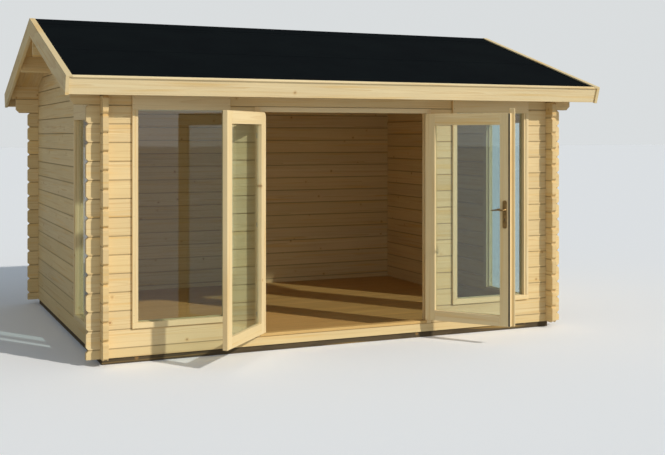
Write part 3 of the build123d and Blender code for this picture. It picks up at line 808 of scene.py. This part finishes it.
LEAF_ZONE = FRAME_HALF - JAMB_WIDTH
LEAF_WIDTH = LEAF_ZONE - LEAF_CLEARANCE - LEAF_MIDDLE_GAP / 2
LEAF_START = LEAF_CLEARANCE / 2
LEAF_END = LEAF_START + LEAF_WIDTH
LEAF_FRONT = HINGE_OFFSET
LEAF_REAR = LEAF_FRONT + LEAF_THICKNESS
LEAF_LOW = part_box("left_door_leaf")[0].z
LEAF_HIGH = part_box("left_door_leaf")[1].z

frame_low, frame_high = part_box("door_frame")
threshold_low, threshold_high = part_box("door_threshold")
front_face, back_face = frame_low.y, frame_high.y
head_bottom = frame_high.z - HEAD_HEIGHT
stop_front = front_face + LEAF_THICKNESS + LEAF_CLEARANCE

door_frame = Builder()
lip_start = FRAME_HALF - FRAME_LIP - FRAME_LIP_GAP
inner_y = -HALF_DEPTH + LOG_THICKNESS + SEAT_GAP
for sign in (-1, 1):
    x0, x1 = span(sign, LEAF_ZONE, lip_start)
    door_frame.board_box((x0, front_face, frame_low.z), (x1, back_face, frame_high.z), 2)
    x0, x1 = span(sign, lip_start, FRAME_HALF)
    door_frame.board_box((x0, front_face, frame_low.z), (x1, -HALF_DEPTH - SEAT_GAP, frame_high.z), 2)
    door_frame.board_box((x0, inner_y, frame_low.z), (x1, back_face, frame_high.z), 2)
    x0, x1 = span(sign, LEAF_ZONE - STOP_WIDTH, LEAF_ZONE - SEAT_GAP)
    door_frame.board_box((x0, stop_front, threshold_high.z), (x1, back_face, head_bottom - SEAT_GAP), 2)
reach = LEAF_ZONE - SEAT_GAP
door_frame.board_box((-reach, front_face, head_bottom), (reach, back_face, frame_high.z), 0)
door_frame.finish("door_frame_joinery", "cabin", joinery_wood, "joinery_wood", "door_frame")

threshold = Builder()
threshold.board_box(threshold_low, threshold_high, 0, THRESHOLD_CHAMFER)
threshold.finish("door_threshold_board", "cabin", threshold_wood, "joinery_wood", "door_threshold")


def leaf_place(joint, extend):
    """Map from a leaf's own frame to where it stands: x from the hinge axis along the leaf, y in."""
    axis = Vector(joint["pos_m"])
    closing = joint["range_deg"][0] * joint["axis"][2]
    turn = Matrix.Rotation(math.radians(-closing), 3, "Z")
    return lambda p: Vector((axis.x, axis.y, 0)) + turn @ Vector((extend * p[0], p[1], p[2]))


def rounded_stile(builder, x0, x1, y0, y1, z0, z1, radius):
    """Stile whose upper corner at x0 is round, lofted through its thickness."""
    outline = [(x0, z0), (x1, z0), (x1, z1)]
    for step in range(CORNER_STEPS + 1):
        angle = math.radians(90 + 90 * step / CORNER_STEPS)
        outline.append((x0 + radius + radius * math.cos(angle), z1 - radius + radius * math.sin(angle)))
    chamfer = BOARD_CHAMFER
    middle_x, middle_z = (x0 + x1) / 2, (z0 + z1) / 2
    sections = []
    for y, inset in ((y0, chamfer), (y0 + chamfer, 0), (y1 - chamfer, 0), (y1, chamfer)):
        share_x = 1 - inset / ((x1 - x0) / 2)
        share_z = 1 - inset / ((z1 - z0) / 2)
        sections.append([
            (middle_x + (x - middle_x) * share_x, y, middle_z + (z - middle_z) * share_z) for x, z in outline
        ])
    points = [point for section in sections for point in section]
    centre = Vector((middle_x, (y0 + y1) / 2, middle_z))
    faces = [outward(face, points, centre) for face in skin(len(sections), len(outline))]
    grain = [(z - middle_z, x - middle_x, y - centre.y) for x, y, z in points]
    builder.mesh(points, faces, grain, random.random() * 100)


def leaf_frame(wood_parts, corner_radius, covered):
    """Stiles and rails of one leaf in its own frame; a covered leaf has a rebate in its free stile."""
    stile_end = LEAF_START + STILE_WIDTH
    if corner_radius:
        rounded_stile(
            wood_parts, LEAF_START, stile_end, LEAF_FRONT, LEAF_REAR, LEAF_LOW, LEAF_HIGH, corner_radius
        )
    else:
        wood_parts.board_box((LEAF_START, LEAF_FRONT, LEAF_LOW), (stile_end, LEAF_REAR, LEAF_HIGH), 2)
    free_start = LEAF_END - STILE_WIDTH
    free_end = LEAF_END - (REBATE_WIDTH if covered else 0)
    wood_parts.board_box((free_start, LEAF_FRONT, LEAF_LOW), (free_end, LEAF_REAR, LEAF_HIGH), 2)
    rail_start, rail_end = stile_end + SEAT_GAP, free_start - SEAT_GAP
    for low, high in (
        (LEAF_LOW, LEAF_LOW + BOTTOM_RAIL_WIDTH), (LEAF_HIGH - TOP_RAIL_WIDTH, LEAF_HIGH)
    ):
        wood_parts.board_box((rail_start, LEAF_FRONT, low), (rail_end, LEAF_REAR, high), 0)


def door_leaf(side, joint, extend, corner_radius=0, covered=False):
    """One door leaf; extend is the side that it reaches to from its hinges."""
    place = leaf_place(joint, extend)
    leaf = f"{side}_leaf"
    wood_parts = Builder(place, extend < 0)
    leaf_frame(wood_parts, corner_radius, covered)
    if covered:
        rebate_start = LEAF_END - REBATE_WIDTH + SEAT_GAP
        rebate_y = LEAF_REAR - REBATE_DEPTH
        wood_parts.board_box((rebate_start, LEAF_FRONT, LEAF_LOW), (LEAF_END, rebate_y, LEAF_HIGH), 2)
        lip_y = LEAF_FRONT - BATTEN_GAP
        seat = LEAF_END - BATTEN_SEAT
        seat_high = (LEAF_END, LEAF_FRONT, LEAF_HIGH)
        wood_parts.board_box((seat, lip_y, LEAF_LOW), seat_high, 2, BATTEN_SEAT_CHAMFER)
        cover_low = (seat, lip_y - BATTEN_THICKNESS, LEAF_LOW)
        cover_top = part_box("right_door_leaf")[1].z
        wood_parts.board_box(cover_low, (LEAF_END + BATTEN_LIP, lip_y, cover_top), 2, BATTEN_CHAMFER)
        seal = Builder(place, extend < 0)
        seal_low = (rebate_start + SEAL_INSET, rebate_y + SEAT_GAP, LEAF_LOW + 2 * SEAL_INSET)
        seal_high = (LEAF_END - SEAL_INSET, LEAF_REAR - 0.5 * SEAL_INSET, LEAF_HIGH - 2 * SEAL_INSET)
        seal.board_box(seal_low, seal_high, 2, 1.5 * SEAL_INSET)
        seal.finish(f"{side}_leaf_seal", leaf, seal_rubber_and_keyhole_shade, "joinery_wood")
    wood_parts.finish(f"{side}_leaf_joinery", leaf, joinery_wood, "joinery_wood", f"{side}_door_leaf")


# Hinges: barrels with rounded tips, and plates with two screws each

HINGE_RADIUS = 0.007
HINGE_HALF_LENGTH = 0.040
HINGE_PLATE_REACH = 0.034
HINGE_PLATE_THICKNESS = 0.003
HINGE_PLATE_CHAMFER = 0.0006
HINGE_TIP = 0.0015
HINGE_TIP_SHARE = 0.6
HINGE_SCREW_RADIUS = 0.0034
HINGE_INSET = 0.170
HINGE_HEIGHTS = (LEAF_LOW + HINGE_INSET, (LEAF_LOW + LEAF_HIGH) / 2, LEAF_HIGH - HINGE_INSET)
TURN_OUT = Matrix.Rotation(math.radians(90), 3, "X")


def screw_head(builder, place, point, radius):
    """Countersunk head with a recess, looking along -Y in the frame that place maps from."""
    profile = (
        (radius, -0.0006), (radius, 0.0), (0.8 * radius, 0.0004),
        (0.4 * radius, 0.0003), (0.34 * radius, -0.0003),
    )
    builder.turned(profile, lambda p: place(Vector(point) + TURN_OUT @ p), 12)


def hinge_halves(name, body, places, lift, node):
    """Upper or lower halves of hinges; places pairs a map from a leaf's frame with its mirroring."""
    steel = Builder()
    plate_back = HINGE_OFFSET - SEAT_GAP
    plate_front = plate_back - HINGE_PLATE_THICKNESS
    length = HINGE_HALF_LENGTH
    tip_radius = HINGE_TIP_SHARE * HINGE_RADIUS
    profile = (
        (tip_radius, 0), (HINGE_RADIUS, HINGE_TIP),
        (HINGE_RADIUS, length - HINGE_TIP), (tip_radius, length),
    )
    for place, mirrored in places:
        steel.mirrored = mirrored
        steel.place = place
        for height in HINGE_HEIGHTS:
            start = height + SEAT_GAP if lift > 0 else height - SEAT_GAP - length
            steel.turned(profile, lambda p, start=start: p + Vector((0, 0, start)), 20)
            low = (0.4 * HINGE_RADIUS, plate_front, start + 0.0005)
            high = (HINGE_PLATE_REACH, plate_back, start + length - 0.0005)
            steel.board_box(low, high, 2, HINGE_PLATE_CHAMFER)
            for share in (0.25, 0.75):
                point = (0.66 * HINGE_PLATE_REACH, plate_front, start + share * length)
                screw_head(steel, straight, point, HINGE_SCREW_RADIUS)
    steel.place = straight
    steel.finish(name, body, hinge_metal, "hinge_metal", node)


# Lever handle on both faces of the right leaf: rounded plates, necks, curved levers and keyholes

HANDLE_HEIGHT = 1.095
HANDLE_DROP = 0.075
LEVER_Z = WALL_BOTTOM + HANDLE_HEIGHT
SPINDLE = LEAF_END - STILE_WIDTH / 2
PLATE_WIDTH = 0.038
PLATE_LENGTH = 0.235
PLATE_THICKNESS = 0.007
PLATE_CORNER = 0.016
NECK_FOOT_RADIUS = 0.014
NECK_RADIUS = 0.009
NECK_LENGTH = 0.042
LEVER_LENGTH = 0.118
LEVER_THICKNESS = 0.012
LEVER_ROOT = 0.019
LEVER_TIP = 0.013
LEVER_CURVE = 0.0016
LEVER_ROUND_START = 0.94
LEVER_SECTIONS = 14
LEVER_POINTS = 16
NECK_POINTS = 20
LOCK_SINK = 0.001
LOCK_RISE = 0.0006
LOCK_CHAMFER = 0.0004
# Half width, lower end and upper end of the round of the keyhole and of its slot
LOCK_PARTS = ((0.0045, -0.003, 0.006), (0.0028, -0.018, -0.002))


def rounded_outline(half_width, half_height, radius):
    """Points around a rectangle with round corners."""
    steps = 6
    outline = []
    for corner, (sx, sz) in enumerate(((1, 1), (-1, 1), (-1, -1), (1, -1))):
        for step in range(steps + 1):
            angle = math.radians(90 * corner + 90 * step / steps)
            x = sx * (half_width - radius) + radius * math.cos(angle)
            outline.append((x, sz * (half_height - radius) + radius * math.sin(angle)))
    return outline


def handle_plate(builder, start, out):
    """Long plate with rounded corners and a softened face."""
    plate_z = LEVER_Z - HANDLE_DROP / 2
    sections = []
    for depth, inset in (
        (0, 0), (PLATE_THICKNESS - 0.003, 0),
        (PLATE_THICKNESS - 0.001, 0.0012), (PLATE_THICKNESS, 0.0035),
    ):
        outline = rounded_outline(PLATE_WIDTH / 2 - inset, PLATE_LENGTH / 2 - inset, PLATE_CORNER - inset)
        sections.append([(SPINDLE + x, start + out * depth, plate_z + z) for x, z in outline[::-out]])
    builder.loft(sections)


def handle_neck(builder, start, out):
    """Round neck with a wider foot on the plate."""
    sections = []
    for depth, radius in (
        (0, NECK_FOOT_RADIUS), (0.003, NECK_FOOT_RADIUS - 0.0005),
        (0.005, NECK_RADIUS), (NECK_LENGTH, NECK_RADIUS),
    ):
        ring = [(radius * cosine, radius * sine) for cosine, sine in circle(NECK_POINTS)]
        sections.append([(SPINDLE + x, start + out * depth, LEVER_Z + z) for x, z in ring[::-out]])
    builder.loft(sections)


def handle_lever(builder, lever_y):
    """Curved lever that narrows to a round tip."""
    sections = []
    for part in range(LEVER_SECTIONS + 1):
        share = part / LEVER_SECTIONS
        x = SPINDLE + LEVER_ROOT / 2 - share * LEVER_LENGTH
        height = LEVER_ROOT + (LEVER_TIP - LEVER_ROOT) * share
        past_round = max(0.0, (share - LEVER_ROUND_START) / (1 - LEVER_ROUND_START))
        tip = math.sqrt(max(0.0, 1 - past_round ** 2)) * 0.9 + 0.1
        root = 0.75 + 0.25 * min(1.0, share / 0.08)
        middle_z = LEVER_Z + LEVER_CURVE * math.sin(math.pi * (2 * share - 0.25))
        half_z = height / 2 * tip * root - LEVER_CURVE
        half_y = LEVER_THICKNESS / 2 * (0.55 + 0.45 * tip) * root
        sections.append([
            (x, lever_y + half_y * cosine, middle_z + half_z * sine) for cosine, sine in circle(LEVER_POINTS)
        ])
    builder.loft(sections)


def keyhole(builder, front, out):
    """Painted shade of a keyhole in one plate: a dark inset shaped as its round and its slot."""
    middle_z = LEVER_Z - HANDLE_DROP
    y0, y1 = sorted((front - out * LOCK_SINK, front + out * LOCK_RISE))
    for half_width, low, high in LOCK_PARTS:
        corner = (SPINDLE - half_width, y0, middle_z + low)
        builder.board_box(corner, (SPINDLE + half_width, y1, middle_z + high), 2, LOCK_CHAMFER)


def door_handle(joint, extend):
    """The handle on both faces of the leaf; out is -1 for the outer face."""
    place = leaf_place(joint, extend)
    brass = Builder(place, extend > 0)
    # Dark insets that stand for the keyholes' holes: painted shade
    slots = Builder(place, extend < 0)
    for face_y, out in ((LEAF_FRONT, -1), (LEAF_REAR, 1)):
        start = face_y + out * SEAT_GAP
        plate_front = start + out * PLATE_THICKNESS
        handle_plate(brass, start, out)
        handle_neck(brass, plate_front, out)
        handle_lever(brass, plate_front + out * (NECK_LENGTH + LEVER_THICKNESS / 2))
        keyhole(slots, plate_front, out)
    brass.finish("door_handle_set", "right_leaf", handle_brass, "handle_brass", "door_handle")
    slots.finish("door_handle_keyholes", "right_leaf", seal_rubber_and_keyhole_shade, "handle_brass")


joints = {joint["name"]: joint for joint in frame["joints"]}
left_joint, right_joint = joints["left_leaf_hinge"], joints["right_leaf_hinge"]
door_leaf("left", left_joint, 1, corner_radius=LEAF_CORNER)
door_leaf("right", right_joint, -1, covered=True)


def jamb_place(joint, side):
    """Map from the hinge axis onto the fixed jamb, outward from the door opening."""
    axis = Vector(joint["pos_m"])
    return lambda p: Vector((axis.x + side * p[0], axis.y + p[1], p[2]))


left_leaf_place, right_leaf_place = leaf_place(left_joint, 1), leaf_place(right_joint, -1)
jambs = [(jamb_place(left_joint, -1), True), (jamb_place(right_joint, 1), False)]
hinge_halves("left_leaf_hinge_set", "left_leaf", [(left_leaf_place, False)], 1, "left_leaf_hinges")
hinge_halves("right_leaf_hinge_set", "right_leaf", [(right_leaf_place, True)], 1, "right_leaf_hinges")
hinge_halves("frame_hinge_set", "cabin", jambs, -1, "frame_hinges")
door_handle(right_joint, -1)


# Screws in the window casings

CASING_SCREW_STEP = 0.40
CASING_SCREW_INSET = 0.06
HEAD_SCREW_INSET = 0.035
CASING_SCREW_RADIUS = 0.0030


def casing_screws(name, origin, right, out):
    """Screws along the casing of one window."""
    origin, right, out = Vector(origin), Vector(right), Vector(out)

    def place(point):
        return origin + point[0] * right + point[2] * UPWARD - point[1] * out

    screws = Builder()
    count = int((GLASS_HIGH - GLASS_LOW) / CASING_SCREW_STEP) + 1
    first, last = GLASS_LOW + CASING_SCREW_INSET, GLASS_HIGH - CASING_SCREW_INSET
    spots = []
    for sign in (-1, 1):
        x = sign * (WINDOW_WIDTH - CASING_WIDTH) / 2
        for number in range(count):
            height = first + number * (last - first) / (count - 1)
            spots.append((x, -TRIM_THICKNESS, height))
        for height in (GLASS_HIGH + HEAD_SCREW_INSET, HEAD_TOP - HEAD_SCREW_INSET):
            spots.append((x, -TRIM_THICKNESS, height))
    for spot in spots:
        screw_head(screws, place, spot, CASING_SCREW_RADIUS)
    screws.finish(f"{name}_casing_screws", "cabin", screw_metal, "hinge_metal")


for unit in WINDOW_UNITS:
    casing_screws(*unit)


# Camera, light and surroundings

PHOTO_WIDTH, PHOTO_HEIGHT = 665, 455
FOCAL_PIXELS = 1045.12
HORIZON_ROW = 135.67
SENSOR = 36.0
CAMERA_PLACE = (-3.691, -9.724, 1.771)
CAMERA_TURN = math.radians(-23.81)

camera = bpy.data.objects.new("camera", bpy.data.cameras.new("camera"))
bpy.context.scene.collection.objects.link(camera)
camera.location = CAMERA_PLACE
camera.rotation_euler = (math.radians(90), 0, CAMERA_TURN)
camera.data.sensor_width = SENSOR
camera.data.lens = SENSOR * FOCAL_PIXELS / PHOTO_WIDTH
camera.data.shift_y = (HORIZON_ROW - PHOTO_HEIGHT / 2) / PHOTO_WIDTH
bpy.context.scene.camera = camera

SUN_TURN = math.radians(33.5)
SUN_HEIGHT = math.radians(31.2)
SUN_ACROSS, SUN_INWARD = math.sin(SUN_TURN), -math.cos(SUN_TURN)

sun = bpy.data.objects.new("sun", bpy.data.lights.new("sun", "SUN"))
bpy.context.scene.collection.objects.link(sun)
level = math.cos(SUN_HEIGHT)
towards_sun = Vector((SUN_ACROSS * level, SUN_INWARD * level, math.sin(SUN_HEIGHT)))
sun.rotation_euler = towards_sun.to_track_quat("Z", "Y").to_euler()
sun.data.energy = 2.50
sun.data.angle = math.radians(1.5)
sun.data.color = (1.0, 0.965, 0.90)

# The sky is brighter on the sun's side, and more so where the glass mirrors it
SKY_MEAN = 0.40
SKY_SLOPE = 0.26
SKY_TINT = (0.82, 0.93, 1.05, 1)
MIRRORED_MEAN = 0.64
MIRRORED_SLOPE = 0.46
MIRRORED_TINT = (0.96, 0.96, 0.94, 1)
PALE_BACKDROP = (0.70, 0.725, 0.735, 1)
GROUND_SEEN = (0.96, 0.96, 0.96, 1)
GROUND_BOUNCE = (0.65, 0.64, 0.615, 1)
GROUND_REACH = 150.0


def light_world():
    """Sky light with a bright side, and a plain pale backdrop where the camera looks past the cabin."""
    world = bpy.data.worlds.new("world")
    bpy.context.scene.world = world
    world.use_nodes = True
    world.node_tree.nodes.clear()
    s = Shader(world.node_tree, "ShaderNodeOutputWorld")
    light_path = s.node("ShaderNodeLightPath").outputs
    sunward = s.node("ShaderNodeVectorMath", operation="DOT_PRODUCT")
    s.feed(sunward.inputs[0], s.node("ShaderNodeTexCoord").outputs["Generated"])
    s.feed(sunward.inputs[1], (SUN_ACROSS, SUN_INWARD, 0))
    facing_sun = sunward.outputs["Value"]
    sky = s.add(SKY_MEAN, s.times(facing_sun, SKY_SLOPE))
    mirrored_sky = s.add(MIRRORED_MEAN, s.times(facing_sun, MIRRORED_SLOPE))
    strength = s.between(light_path["Is Glossy Ray"], 0.0, 1.0, sky, mirrored_sky)
    tint = s.mix(light_path["Is Glossy Ray"], SKY_TINT, MIRRORED_TINT)
    ambient = s.node("ShaderNodeBackground", {"Color": tint, "Strength": strength})
    pale = s.node("ShaderNodeBackground", {"Color": PALE_BACKDROP, "Strength": 1.0})
    seen = s.math("MAXIMUM", light_path["Is Camera Ray"], light_path["Is Transmission Ray"])
    backdrop = s.node("ShaderNodeMixShader", {"Fac": seen})
    s.feed(backdrop.inputs[1], ambient.outputs[0])
    s.feed(backdrop.inputs[2], pale.outputs[0])
    s.feed(s.output.inputs[0], backdrop.outputs[0])


def lay_ground():
    """Plain pale floor that keeps the cabin's shadow."""
    reach = GROUND_REACH
    mesh = bpy.data.meshes.new("ground")
    corners = [(-reach, -reach, 0), (reach, -reach, 0), (reach, reach, 0), (-reach, reach, 0)]
    mesh.from_pydata(corners, [], [(0, 1, 2, 3)])
    ground = bpy.data.objects.new("ground", mesh)
    bpy.context.scene.collection.objects.link(ground)
    material, s = new_material("ground")
    camera_ray = s.node("ShaderNodeLightPath").outputs["Is Camera Ray"]
    colour = s.mix(camera_ray, GROUND_BOUNCE, GROUND_SEEN)
    s.surface(Base_Color=colour, Roughness=1.0, Specular_IOR_Level=0.0)
    mesh.materials.append(material)


light_world()
lay_ground()
bpy.context.scene.view_settings.view_transform = "Standard"
